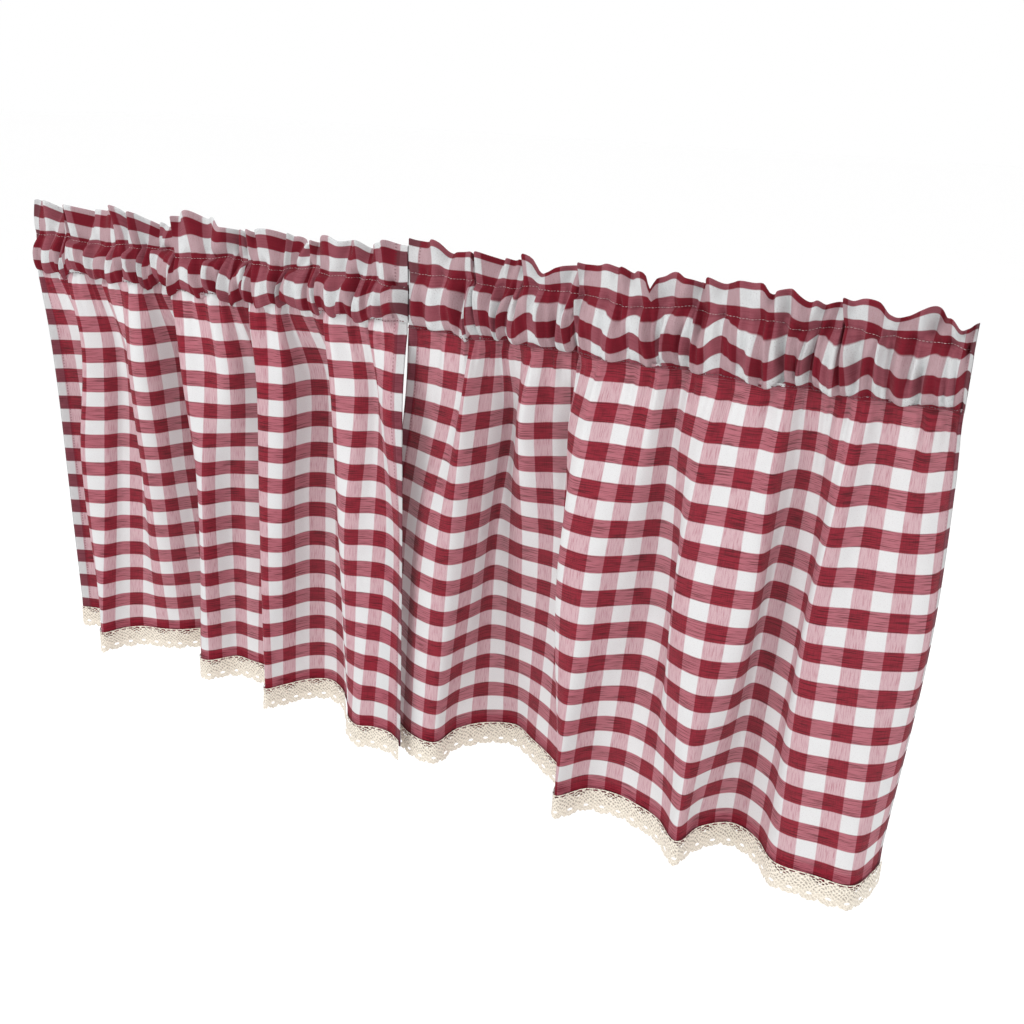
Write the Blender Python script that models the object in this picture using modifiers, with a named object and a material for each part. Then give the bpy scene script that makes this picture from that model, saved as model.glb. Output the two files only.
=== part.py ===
"""Pair of gathered gingham valance panels with a ruffled rod pocket and a lace trim.

Each panel is a straight cloth gathered on one rod: a doubled heading with a hollow
rod pocket and a ruffle above it, a skirt that falls in soft folds, and a lace strip
sewn over the front of the hem. The origin is the rod's centre line at mid-span,
+X runs along the rod, +Y goes away from the viewer and +Z is up.
"""
import bmesh
import bpy
import math

MM = 0.001

# Cloth and weave sizes. A check is 20 mm across, measured along the folds
CHECKS_WIDE = 44         # flat width of one panel, in checks
FIRST_CHECK = -0.55      # the side hem shows this much of the check before the first whole one
CLOTH = 0.0015           # thickness of the single cloth, in metres
GAP = 0.0003             # clearance between sewn pieces

CHECK_DOWN = 0.0192      # one check measured down the cloth, in metres

# Heights
STRAIGHT_END = 0.010     # the skirt runs straight down for this much at its top and hem

# Lace strip
LACE = 0.0015
LACE_OVERLAP = 0.009     # how far it laps up over the cloth
LACE_BELOW = 0.018       # how far its scallops reach below the hem
SCALLOP_NOTCH = 0.0035   # how much shorter the strip is between two scallops
EYELET_TOP = 0.008       # below the hem
EYELET_BOTTOM = 0.0128
COLUMNS_A_SCALLOP = 3    # the middle column holds the eyelet

# Mesh steps
STATIONS = 66            # steps along a panel; each is two lace columns
SKIRT_DEPTHS = (0.010, 0.045, 0.095, 0.160, 0.240, 0.320, 0.400)
POCKET_WALL = 0.002

# The fold tables give the cloth's place at the top of these red rows of the check
TOP_ROW = 2
MID_ROW = 6
HEM_ROW = 12

# Folds of the left panel. Each row is one place along the cloth: checks from the
# left side hem, then x and y from the rod's centre in mm near the top, at
# mid-height and at the hem.
LEFT_FOLDS = (
    # checks, x_top, y_top, x_mid, y_mid, x_hem, y_hem
    (-0.6, -543, -12, -568, 16, -585, 39),
    (1.0, -523, 4, -539, 31, -556, 48),
    (2.8, -495, 13, -510, 29, -526, 38),
    (4.5, -481, -15, -505, -11, -508, 6),
    (6.0, -459, -4, -476, 1, -493, -5),
    (7.5, -445, 13, -464, 22, -483, 20),
    (9.0, -417, -2, -436, 28, -465, 40),
    (10.5, -390, -28, -409, 3, -437, 49),
    (12.0, -362, -26, -386, 12, -417, 60),
    (14.0, -354, 14, -373, 43, -388, 86),
    (15.5, -337, 33, -356, 59, -365, 71),
    (17.0, -314, 11, -331, 39, -345, 47),
    (18.5, -305, -26, -319, 7, -336, 17),
    (20.0, -276, -18, -296, -9, -319, 12),
    (22.0, -243, -11, -278, 22, -298, 42),
    (23.5, -230, 11, -254, 33, -271, 45),
    (25.0, -210, 30, -228, 44, -244, 42),
    (26.5, -197, 11, -206, 27, -223, 23),
    (28.0, -196, -18, -207, -7, -207, -7),
    (30.0, -164, -10, -176, -3, -195, 14),
    (32.0, -156, 29, -167, 36, -178, 46),
    (33.5, -132, 40, -141, 47, -154, 59),
    (35.0, -107, 24, -119, 33, -122, 46),
    (36.5, -98, -8, -102, 7, -103, 26),
    (38.0, -68, -5, -77, -12, -83, 1),
    (39.7, -48, 8, -52, 3, -58, -16),
    (41.0, -32, -6, -31, 4, -38, -8),
    (42.3, -12, -27, -10, -8, -13, -8),
    (43.6, 14, -25, 12, -24, 10, -18),
)

# Folds of the right panel, in the same columns
RIGHT_FOLDS = (
    # checks, x_top, y_top, x_mid, y_mid, x_hem, y_hem
    (-0.6, -10, 8, -38, 25, -53, 31),
    (1.0, 19, 4, -9, 14, -24, 18),
    (3.0, 61, -5, 30, -8, 12, -4),
    (5.0, 81, -17, 66, -15, 46, -4),
    (7.0, 96, 12, 81, 18, 50, 37),
    (9.0, 109, 38, 84, 58, 72, 70),
    (11.0, 140, -6, 123, 45, 106, 84),
    (13.0, 169, 14, 161, 46, 142, 64),
    (14.5, 187, 26, 178, 38, 175, 44),
    (16.0, 196, -6, 197, 12, 200, 23),
    (17.5, 220, -24, 201, -21, 209, -6),
    (19.0, 249, -22, 235, -30, 218, -25),
    (21.0, 281, -17, 263, -9, 239, 6),
    (23.0, 303, 3, 291, 15, 276, 15),
    (24.5, 321, -9, 318, 5, 305, 7),
    (26.0, 345, -30, 330, -22, 331, -5),
    (28.0, 377, -21, 369, -32, 360, -32),
    (30.0, 410, -21, 406, -21, 369, 5),
    (32.0, 426, 9, 411, 17, 396, 33),
    (34.0, 452, 2, 446, 5, 430, 19),
    (36.0, 473, -19, 461, -19, 458, -9),
    (38.0, 495, 3, 495, -11, 496, -10),
    (40.0, 527, 4, 529, 2, 532, -7),
    (42.0, 552, 21, 558, 18, 544, 29),
    (43.6, 561, 43, 562, 45, 547, 59),
)

# Gathers of the pocket. Each row is one bulge of the front layer: its place along
# the rod, how far it stands forward, how far it droops over the stitch, how far the
# ruffle above it leans back, and how high the ruffle stands over the rod. All in mm.
LEFT_GATHERS = (
    # place, bulge, droop, ruffle_lean, ruffle_top
    (-540, 6, 1, 6, 56),
    (-485, 9, 4, 3, 51),
    (-434, 10, 6, 8, 54),
    (-392, 6, 1, 1, 51),
    (-335, 11, 6, 7, 47),
    (-289, 7, 3, -3, 58),
    (-243, 10, 6, 5, 49),
    (-199, 6, 2, -2, 48),
    (-149, 10, 5, 4, 52),
    (-95, 9, 5, -2, 51),
    (-61, 7, 3, 3, 52),
    (-14, 6, 1, -4, 52),
)
RIGHT_GATHERS = (
    # place, bulge, droop, ruffle_lean, ruffle_top
    (28, 5, 1, -3, 60),
    (88, 10, 6, 6, 52),
    (131, 11, 7, 2, 52),
    (168, 7, 2, -4, 48),
    (232, 6, 0, 3, 54),
    (279, 9, 4, -2, 49),
    (343, 6, 0, 4, 52),
    (385, 9, 5, -2, 52),
    (447, 10, 6, 5, 47),
    (481, 6, 1, -2, 50),
    (511, 9, 5, 4, 44),
    (539, 10, 2, -5, 54),
    (557, 5, 1, 2, 46),
)
VALLEY_FRONT = 13.0      # depth of the pocket's front between two bulges, mm
VALLEY_BACK = 13.0       # the same for its back
BACK_SHARE = 0.5         # the back layer ripples half as much as the front
EVEN_SHARE = 0.5         # how evenly the cloth is spread along the rod at the stitch

# Where the heading starts and ends on the rod, how far its lower stitch is below
# the rod and its upper stitch above it, how many checks the skirt drops, and how
# many checks lie between the lower stitch and the first red row
LEFT_HANG = {"span": (-0.566, -0.003), "stitch": 0.027, "upper": 0.013,
             "drop": 25.8, "first_red": 0.66}
RIGHT_HANG = {"span": (0.003, 0.563), "stitch": 0.032, "upper": 0.025,
              "drop": 25.3, "first_red": 0}

CRIMSON = (0.33, 0.03, 0.06, 1.0)
ECRU = (0.74, 0.68, 0.58, 1.0)


def clear_scene():
    for old in list(bpy.data.objects):
        bpy.data.objects.remove(old, do_unlink=True)


def new_collection(name):
    collection = bpy.data.collections.new(name)
    bpy.context.scene.collection.children.link(collection)
    return collection


def cloth_material(name, colour, roughness):
    material = bpy.data.materials.new(name)
    material.use_nodes = True
    shader = material.node_tree.nodes["Principled BSDF"]
    shader.inputs["Base Color"].default_value = colour
    shader.inputs["Roughness"].default_value = roughness
    shader.inputs["Metallic"].default_value = 0.0
    material.diffuse_color = colour
    return material


def smooth_through(places, values, place):
    """Value at a place on a smooth curve through the rows' values."""
    last = len(places) - 1
    place = min(max(place, places[0]), places[last])
    low = 0
    while low < last - 1 and place > places[low + 1]:
        low += 1
    span = places[low + 1] - places[low]

    def slope(index):
        before = max(index - 1, 0)
        after = min(index + 1, last)
        return (values[after] - values[before]) / (places[after] - places[before])

    t = (place - places[low]) / span
    start = (1 + 2 * t) * (1 - t) ** 2 * values[low]
    end = t * t * (3 - 2 * t) * values[low + 1]
    lean_in = t * (1 - t) ** 2 * span * slope(low)
    lean_out = t * t * (t - 1) * span * slope(low + 1)
    return start + end + lean_in + lean_out


def wave_through(rows, column, place):
    """Height of a row's crest at its own place, falling to nil half-way to the next."""
    crests = [row[0] for row in rows]
    if place <= crests[0] or place >= crests[-1]:
        return rows[0][column] if place <= crests[0] else rows[-1][column]
    low = max(i for i in range(len(crests)) if crests[i] <= place)
    t = (place - crests[low]) / (crests[low + 1] - crests[low])
    near = rows[low][column] if t < 0.5 else rows[low + 1][column]
    crest_share = 0.5 + 0.5 * math.cos(2 * math.pi * t)
    return near * crest_share


class Panel:
    """One cloth: its fold table, its gathers and how it hangs on the rod."""

    def __init__(self, folds, gathers, hang):
        self.checks = [row[0] for row in folds]
        self.columns = list(zip(*folds))
        self.gathers = gathers
        self.span = hang["span"]
        self.stitch = -hang["stitch"]
        self.upper = hang["upper"]
        self.drop = hang["drop"] * CHECK_DOWN
        rows = (TOP_ROW, MID_ROW, HEM_ROW)
        self.levels = [(2 * row + hang["first_red"]) * CHECK_DOWN for row in rows]

    def fold(self, column, checks):
        return smooth_through(self.checks, self.columns[column], checks) * MM

    def share(self, checks):
        return (checks - FIRST_CHECK) / CHECKS_WIDE

    def on_rod(self, checks):
        """Place along the rod of a thread of the cloth."""
        start, end = self.span
        even = start + (end - start) * self.share(checks)
        first = self.fold(1, FIRST_CHECK)
        last = self.fold(1, FIRST_CHECK + CHECKS_WIDE)
        folded = (self.fold(1, checks) - first) / (last - first)
        gathered = start + (end - start) * folded
        return EVEN_SHARE * even + (1 - EVEN_SHARE) * gathered

    def gather(self, column, x):
        """A measure that peaks at each bulge of the pocket and is nil between them."""
        return wave_through(self.gathers, column, x / MM) * MM

    def ruffle(self, column, x):
        """A measure of the ruffle that runs smoothly from one gather to the next."""
        places = [row[0] for row in self.gathers]
        values = [row[column] for row in self.gathers]
        return smooth_through(places, values, x / MM) * MM

    def seam(self, x):
        """How far behind the rod line the lower stitch runs: forward under a bulge."""
        return 0.003 - 0.8 * self.gather(1, x)

    def place(self, checks, depth):
        """x and y of the cloth at a depth below the lower stitch."""
        depth = min(max(depth, STRAIGHT_END), self.drop - STRAIGHT_END)
        levels = [STRAIGHT_END, *self.levels]
        x_rod = self.on_rod(checks)
        xs = (x_rod, self.fold(1, checks), self.fold(3, checks), self.fold(5, checks))
        ys = (self.seam(x_rod), self.fold(2, checks), self.fold(4, checks), self.fold(6, checks))
        return smooth_through(levels, xs, depth), smooth_through(levels, ys, depth)


def station_checks(index):
    return FIRST_CHECK + CHECKS_WIDE * index / STATIONS


def add_object(name, mesh_data, collection, material):
    mesh = bpy.data.meshes.new(name)
    mesh_data.to_mesh(mesh)
    mesh_data.free()
    mesh.shade_smooth()
    made = bpy.data.objects.new(name, mesh)
    made.data.materials.append(material)
    collection.objects.link(made)
    return made


def solidify(made, thickness):
    modifier = made.modifiers.new("thickness", "SOLIDIFY")
    modifier.thickness = thickness
    modifier.offset = 0.0


def skirt(name, panel, collection, material):
    """The single cloth below the pocket, as a sheet through the fold table."""
    sheet = bmesh.new()
    grid = []
    depths = (GAP, *SKIRT_DEPTHS, panel.drop - STRAIGHT_END, panel.drop)
    for depth in depths:
        z = panel.stitch - depth
        row = []
        for index in range(STATIONS + 1):
            x, y = panel.place(station_checks(index), depth)
            row.append(sheet.verts.new((x, y, z)))
        grid.append(row)
    for upper, lower in zip(grid, grid[1:]):
        for i in range(STATIONS):
            sheet.faces.new((upper[i], lower[i], lower[i + 1], upper[i + 1]))
    made = add_object(name, sheet, collection, material)
    solidify(made, CLOTH)
    return made


def heading_section(panel, x):
    """Outer and inner outline of the heading across the rod, as (y, z)."""
    bulge = panel.gather(1, x)
    front = VALLEY_FRONT * MM + bulge
    back = VALLEY_BACK * MM + BACK_SHARE * bulge
    droop = panel.gather(2, x)
    seam = panel.seam(x)
    lean = panel.ruffle(3, x)
    crown = panel.ruffle(4, x)
    foot = panel.stitch
    upper = panel.upper
    tall = upper - foot
    belly = foot + 0.33 * tall
    shoulder = upper - max(0.0048, 0.22 * tall - 0.004)
    half_hem = 0.0016
    outer = (
        (seam - half_hem, foot),
        (-0.85 * front, foot + 0.006 - 0.5 * droop),
        (-front, belly - 0.6 * droop),
        (-0.93 * front, shoulder),
        (-half_hem, upper),
        (lean - half_hem, crown),
        (lean + half_hem, crown),
        (half_hem, upper),
        (0.93 * back, shoulder),
        (back, belly),
        (0.85 * back, foot + 0.006),
        (seam + half_hem, foot),
    )
    wall = POCKET_WALL
    inner = (
        (0.5 * seam, foot + 0.0045),
        (-front + 1.6 * wall, foot + 0.0095 - 0.5 * droop),
        (-front + wall, belly + 0.001 - 0.5 * droop),
        (-0.93 * front + wall, shoulder - 0.0008),
        (0.0, upper - 0.004),
        (0.93 * back - wall, shoulder - 0.0008),
        (back - wall, belly + 0.001),
        (back - 1.6 * wall, foot + 0.0095),
    )
    return outer, inner


def heading(name, panel, collection, material):
    """The doubled top of the cloth: a hollow pocket with the ruffle above it."""
    body = bmesh.new()
    loops = []
    for index in range(STATIONS + 1):
        x = panel.on_rod(station_checks(index))
        outlines = heading_section(panel, x)
        loops.append([[body.verts.new((x, y, z)) for y, z in outline]
                      for outline in outlines])
    for here, there in zip(loops, loops[1:]):
        for near, far in zip(here, there):
            count = len(near)
            for i in range(count):
                j = (i + 1) % count
                body.faces.new((near[i], near[j], far[j], far[i]))
    for end in (loops[0], loops[-1]):
        rim = []
        for loop in end:
            for i in range(len(loop)):
                rim.append(body.edges.get((loop[i], loop[(i + 1) % len(loop)])))
        bmesh.ops.triangle_fill(body, edges=rim, use_beauty=True, use_dissolve=False)
    bmesh.ops.recalc_face_normals(body, faces=body.faces[:])
    return add_object(name, body, collection, material)


def hem_line(panel):
    """Points along the hem, one for each lace column, with the way out of the cloth."""
    corners = [panel.place(station_checks(i), panel.drop) for i in range(STATIONS + 1)]
    facings = []
    for (x0, y0), (x1, y1) in zip(corners, corners[1:]):
        length = math.hypot(x1 - x0, y1 - y0)
        facings.append(((y1 - y0) / length, -(x1 - x0) / length))
    points = []
    for i, (x, y) in enumerate(corners):
        before = facings[max(i - 1, 0)]
        after = facings[min(i, STATIONS - 1)]
        both = (before[0] + after[0], before[1] + after[1])
        size = both[0] ** 2 + both[1] ** 2
        points.append((x, y, 2 * both[0] / size, 2 * both[1] / size))
        if i < STATIONS:
            x_next, y_next = corners[i + 1]
            points.append(((x + x_next) / 2, (y + y_next) / 2, after[0], after[1]))
    return points


def lace(name, panel, collection, material):
    """The trim in front of the hem: scallops, each with one eyelet cut through."""
    strip = bmesh.new()
    clear = CLOTH / 2 + LACE / 2 + GAP + 0.0001
    columns = []
    for i, (x, y, out_x, out_y) in enumerate(hem_line(panel)):
        between = i % COLUMNS_A_SCALLOP == 0
        bottom = LACE_BELOW - (SCALLOP_NOTCH if between else 0.0)
        place = (x + clear * out_x, y + clear * out_y)
        depths = (-LACE_OVERLAP, EYELET_TOP, EYELET_BOTTOM, bottom)
        hem = panel.stitch - panel.drop
        columns.append([strip.verts.new((*place, hem - depth)) for depth in depths])
    for i, (here, there) in enumerate(zip(columns, columns[1:])):
        for row in range(len(here) - 1):
            eyelet = i % COLUMNS_A_SCALLOP == 1 and row == 1
            if not eyelet:
                strip.faces.new((here[row], here[row + 1], there[row + 1], there[row]))
    made = add_object(name, strip, collection, material)
    solidify(made, LACE)
    return made


def build():
    clear_scene()
    valance = new_collection("gathered_gingham_valance")
    left = Panel(LEFT_FOLDS, LEFT_GATHERS, LEFT_HANG)
    right = Panel(RIGHT_FOLDS, RIGHT_GATHERS, RIGHT_HANG)
    for side, panel in (("left", left), ("right", right)):
        gingham = cloth_material("gingham_" + side, CRIMSON, 0.85)
        doubled = cloth_material("doubled_gingham_" + side, CRIMSON, 0.85)
        cotton_lace = cloth_material("cotton_lace_" + side, ECRU, 0.9)
        skirt("panel_" + side, panel, valance, gingham)
        heading("heading_" + side, panel, valance, doubled)
        lace("lace_" + side, panel, valance, cotton_lace)


build()
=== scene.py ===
# %% [markdown]
# The object is a pair of short window valances. Each one is a straight cloth of red
# and white gingham, gathered on a rod through a stitched pocket, with a ruffle above
# the pocket, a loose skirt below it and a strip of cotton lace along the hem.
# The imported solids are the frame: they give the true place of every fold. Here each
# solid is dressed with a thin, finely divided sheet that follows the same folds.

# %% Frame
import math

import bpy
import numpy as np
from mathutils import Matrix, Vector


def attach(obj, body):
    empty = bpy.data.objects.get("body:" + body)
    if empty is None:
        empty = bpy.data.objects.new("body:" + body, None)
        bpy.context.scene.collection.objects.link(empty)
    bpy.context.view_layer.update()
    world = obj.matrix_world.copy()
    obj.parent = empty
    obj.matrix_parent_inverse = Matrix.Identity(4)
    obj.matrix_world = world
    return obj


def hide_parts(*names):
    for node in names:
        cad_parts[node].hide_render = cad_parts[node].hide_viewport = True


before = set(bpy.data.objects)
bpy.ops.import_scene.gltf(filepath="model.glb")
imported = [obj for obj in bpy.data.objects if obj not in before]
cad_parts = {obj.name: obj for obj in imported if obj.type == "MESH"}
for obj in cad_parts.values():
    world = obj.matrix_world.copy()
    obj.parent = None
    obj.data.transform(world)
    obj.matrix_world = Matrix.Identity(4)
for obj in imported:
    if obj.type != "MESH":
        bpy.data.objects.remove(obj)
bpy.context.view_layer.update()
MM = 0.001
print("nodes:", sorted(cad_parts))

# %% [markdown]
# A hanging cloth is best described by its own measures: how many checks a thread
# lies from the side hem, and how far it hangs below the stitch. A short table then
# says where that thread is at three heights, and a smooth curve joins the rows.
# The same tables shaped the solids, so the sheets and the solids agree.

# %% Measures of the cloth
CHECK_ACROSS = 0.020     # one check, measured along the folds
CHECK_DOWN = 0.0192
CHECKS_WIDE = 44
FIRST_CHECK = -0.55      # what the side hem shows of the check before the first whole one
LAST_CHECK = FIRST_CHECK + CHECKS_WIDE
STRAIGHT_END = 0.010     # the skirt runs straight for this much at its top and hem
TOP_ROW, MID_ROW, HEM_ROW = 2, 6, 12
EVEN_SHARE = 0.12        # how evenly the cloth is spread along the rod at the stitch
print("flat width of one panel:", CHECK_ACROSS * CHECKS_WIDE, "m")

# %% Folds of the left panel, in mm at three heights
LEFT_FOLDS = (
    # checks, x_top, y_top, x_mid, y_mid, x_hem, y_hem
    (-0.6, -543, -12, -568, 16, -585, 39),
    (1.0, -523, 4, -539, 31, -556, 48),
    (2.8, -495, 13, -510, 29, -526, 38),
    (4.5, -481, -15, -505, -11, -508, 6),
    (6.0, -459, -4, -476, 1, -493, -5),
    (7.5, -445, 13, -464, 22, -483, 20),
    (9.0, -417, -2, -436, 28, -465, 40),
    (10.5, -390, -28, -409, 3, -437, 49),
    (12.0, -362, -26, -386, 12, -417, 60),
    (14.0, -354, 14, -373, 43, -388, 86),
    (15.5, -337, 33, -356, 59, -365, 71),
    (17.0, -314, 11, -331, 39, -345, 47),
    (18.5, -305, -26, -319, 7, -336, 17),
    (20.0, -276, -18, -296, -9, -319, 12),
    (22.0, -243, -11, -278, 22, -298, 42),
    (23.5, -230, 11, -254, 33, -271, 45),
    (25.0, -210, 30, -228, 44, -244, 42),
    (26.5, -197, 11, -206, 27, -223, 23),
    (28.0, -196, -18, -207, -7, -207, -7),
    (30.0, -164, -10, -176, -3, -195, 14),
    (32.0, -156, 29, -167, 36, -178, 46),
    (33.5, -132, 40, -141, 47, -154, 59),
    (35.0, -107, 24, -119, 33, -122, 46),
    (36.5, -98, -8, -102, 7, -103, 26),
    (38.0, -68, -5, -77, -12, -83, 1),
    (39.7, -48, 8, -52, 3, -58, -16),
    (41.0, -32, -6, -31, 4, -38, -8),
    (42.3, -12, -27, -10, -8, -13, -8),
    (43.6, 14, -25, 12, -24, 10, -18),
)

# %% Folds of the right panel, in the same columns
RIGHT_FOLDS = (
    (-0.6, -10, 8, -38, 25, -53, 31),
    (1.0, 19, 4, -9, 14, -24, 18),
    (3.0, 61, -5, 30, -8, 12, -4),
    (5.0, 81, -17, 66, -15, 46, -4),
    (7.0, 96, 12, 81, 18, 50, 37),
    (9.0, 109, 38, 84, 58, 72, 70),
    (11.0, 140, -6, 123, 45, 106, 84),
    (13.0, 169, 14, 161, 46, 142, 64),
    (14.5, 187, 26, 178, 38, 175, 44),
    (16.0, 196, -6, 197, 12, 200, 23),
    (17.5, 220, -24, 201, -21, 209, -6),
    (19.0, 249, -22, 235, -30, 218, -25),
    (21.0, 281, -17, 263, -9, 239, 6),
    (23.0, 303, 3, 291, 15, 276, 15),
    (24.5, 321, -9, 318, 5, 305, 7),
    (26.0, 345, -30, 330, -22, 331, -5),
    (28.0, 377, -21, 369, -32, 360, -32),
    (30.0, 410, -21, 406, -21, 369, 5),
    (32.0, 426, 9, 411, 17, 396, 33),
    (34.0, 452, 2, 446, 5, 430, 19),
    (36.0, 473, -19, 461, -19, 458, -9),
    (38.0, 495, 3, 495, -11, 496, -10),
    (40.0, 527, 4, 529, 2, 532, -7),
    (42.0, 552, 21, 558, 18, 544, 29),
    (43.6, 561, 43, 562, 45, 547, 59),
)

# %% [markdown]
# The pocket bulges forward between short pinched places. Each row below is one bulge
# and the piece of ruffle above it. The last table lists where each panel starts and
# ends on the rod and how its rows of checks lie against the stitches.

# %% Gathers of the pocket, in mm
LEFT_GATHERS = (
    # place, bulge, droop, ruffle_lean, ruffle_top
    (-540, 6, 1, 6, 56),
    (-485, 9, 4, 3, 51),
    (-434, 10, 6, 8, 54),
    (-392, 6, 1, 1, 51),
    (-335, 11, 6, 7, 47),
    (-289, 7, 3, -3, 58),
    (-243, 10, 6, 5, 49),
    (-199, 6, 2, -2, 48),
    (-149, 10, 5, 4, 52),
    (-95, 9, 5, -2, 51),
    (-61, 7, 3, 3, 52),
    (-14, 6, 1, -4, 52),
)
RIGHT_GATHERS = (
    (28, 5, 1, -3, 60),
    (88, 10, 6, 6, 52),
    (131, 11, 7, 2, 52),
    (168, 7, 2, -4, 48),
    (232, 6, 0, 3, 54),
    (279, 9, 4, -2, 49),
    (343, 6, 0, 4, 52),
    (385, 9, 5, -2, 52),
    (447, 10, 6, 5, 47),
    (481, 6, 1, -2, 50),
    (511, 9, 5, 4, 44),
    (539, 10, 2, -5, 54),
    (557, 5, 1, 2, 46),
)

# %% Tucks where the heading folds over itself, in mm
LEFT_TUCKS = (
    # place, lean, depth, half_width
    (-495, 6, 5, 7),
    (-400, 12, 7, 8),
    (-359, 6, 5, 6),
    (-273, 12, 8, 8),
    (-238, 4, 5, 6),
    (-164, 10, 7, 7),
    (-88, 12, 7, 7),
    (-42, 6, 4, 6),
)
RIGHT_TUCKS = (
    (81, -6, 5, 9),
    (177, 14, 7, 8),
    (291, 8, 10, 7),
    (410, 3, 11, 6),
    (462, 10, -5, 10),
    (526, 8, 10, 7),
    (546, -6, 5, 6),
)
print("tucks:", len(LEFT_TUCKS), len(RIGHT_TUCKS))

# %% Upper edge of the ruffles: place along the rod and height over it, in mm
LEFT_EDGE = (
    (-566, 55), (-561, 57), (-540, 54), (-496, 51), (-444, 54), (-416, 53), (-403, 47), (-390, 52),
    (-347, 46), (-322, 54), (-299, 59), (-270, 54), (-255, 49), (-232, 51), (-211, 46), (-190, 50),
    (-161, 52), (-130, 47), (-106, 51), (-90, 47), (-73, 52), (-50, 48), (-25, 53), (0, 52),
)
RIGHT_EDGE = (
    (0, 60), (16, 60), (36, 58), (47, 53), (56, 52), (77, 52), (119, 54), (137, 55), (145, 53),
    (153, 44), (160, 42), (171, 49), (195, 55), (221, 54), (248, 52), (262, 47), (268, 36),
    (274, 47), (283, 52), (297, 55), (332, 51), (374, 53), (384, 47), (406, 51), (436, 46),
    (452, 51), (470, 50), (494, 41), (510, 46), (527, 54), (540, 48), (552, 38), (565, 46),
)
print("rows of the ruffle edges:", len(LEFT_EDGE), len(RIGHT_EDGE))

# %% How each panel hangs
# pocket and ruffle: flat heights in checks; first_red: checks from stitch to first red row
# stitch, upper: how far the two rows of stitches lie below and above the rod, in metres
# lip: height of the pocket's lowest fold over the lower stitch, in metres
# stagger: how far the pocket's rows sink between two tucks, in metres
LEFT_HANG = {"span": (-0.566, -0.0004), "edge": LEFT_EDGE, "stitch": 0.027, "upper": 0.013,
             "drop": 25.8, "first_red": 0.66, "pocket": 3.04, "ruffle": 2.7, "lip": 0.001,
             "stagger": 0.009}
RIGHT_HANG = {"span": (0.0004, 0.563), "edge": RIGHT_EDGE, "stitch": 0.032, "upper": 0.025,
              "drop": 25.3, "first_red": 0, "pocket": 3.4, "ruffle": 2.0, "lip": 0.010,
              "stagger": 0.004}
print("checks down the skirts:", LEFT_HANG["drop"], RIGHT_HANG["drop"])

# %% [markdown]
# Small wrinkles that no table could list come from a few slow waves of different
# directions, added up. They are the same on every run, because nothing is random.


# %% Smooth curves and slow waves
def smooth_through(places, values, place):
    """Values at the given places, on a smooth curve through the rows."""
    places = np.array(places, float)
    values = np.array(values, float)
    deep = (-1,) + (1,) * (values.ndim - 1)
    order = np.arange(len(places))
    before = np.maximum(order - 1, 0)
    after = np.minimum(order + 1, len(places) - 1)
    slopes = (values[after] - values[before]) / (places[after] - places[before]).reshape(deep)
    place = np.clip(np.atleast_1d(place), places[0], places[-1])
    low = np.clip(np.searchsorted(places, place, side="right") - 1, 0, len(places) - 2)
    span = (places[low + 1] - places[low]).reshape(deep)
    t = (place - places[low]).reshape(deep) / span
    start = (1 + 2 * t) * (1 - t) ** 2 * values[low]
    end = t * t * (3 - 2 * t) * values[low + 1]
    lean_in = t * (1 - t) ** 2 * span * slopes[low]
    lean_out = t * t * (t - 1) * span * slopes[low + 1]
    return start + end + lean_in + lean_out


def step(start, end, value):
    """Nil before start, one after end, smooth between."""
    t = np.clip((value - start) / (end - start), 0.0, 1.0)
    return t * t * (3 - 2 * t)


def waves(rows, across, down):
    """Sum of slow waves; each row is height, turns per check across and down, phase."""
    total = 0.0 * (across + down)
    for height, turns_across, turns_down, phase in rows:
        total = total + height * np.sin(math.tau * (turns_across * across + turns_down * down) + phase)
    return total


def lobes(rows, across, down):
    """Sum of round lobes with tight creases between them; rows as for waves."""
    total = 0.0 * (across + down)
    for height, turns_across, turns_down, phase in rows:
        bow = np.abs(np.sin(math.tau * (turns_across * across + turns_down * down) + phase))
        total = total + height * (bow - 2 / math.pi)
    return total


# %% One panel
SWING_LIMIT = 0.024
END_HELD = 0.030         # near its ends the heading lies straight on the rod
END_START = -0.004
TUCK_PEAK = 2.33         # makes a tuck's push reach the depth that its row states
SEAM_SWING = 0.45        # how much of the swing the lower stitch takes up
SEAM_PULL = 0.3          # and how much of a bulge it pulls forward


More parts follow.
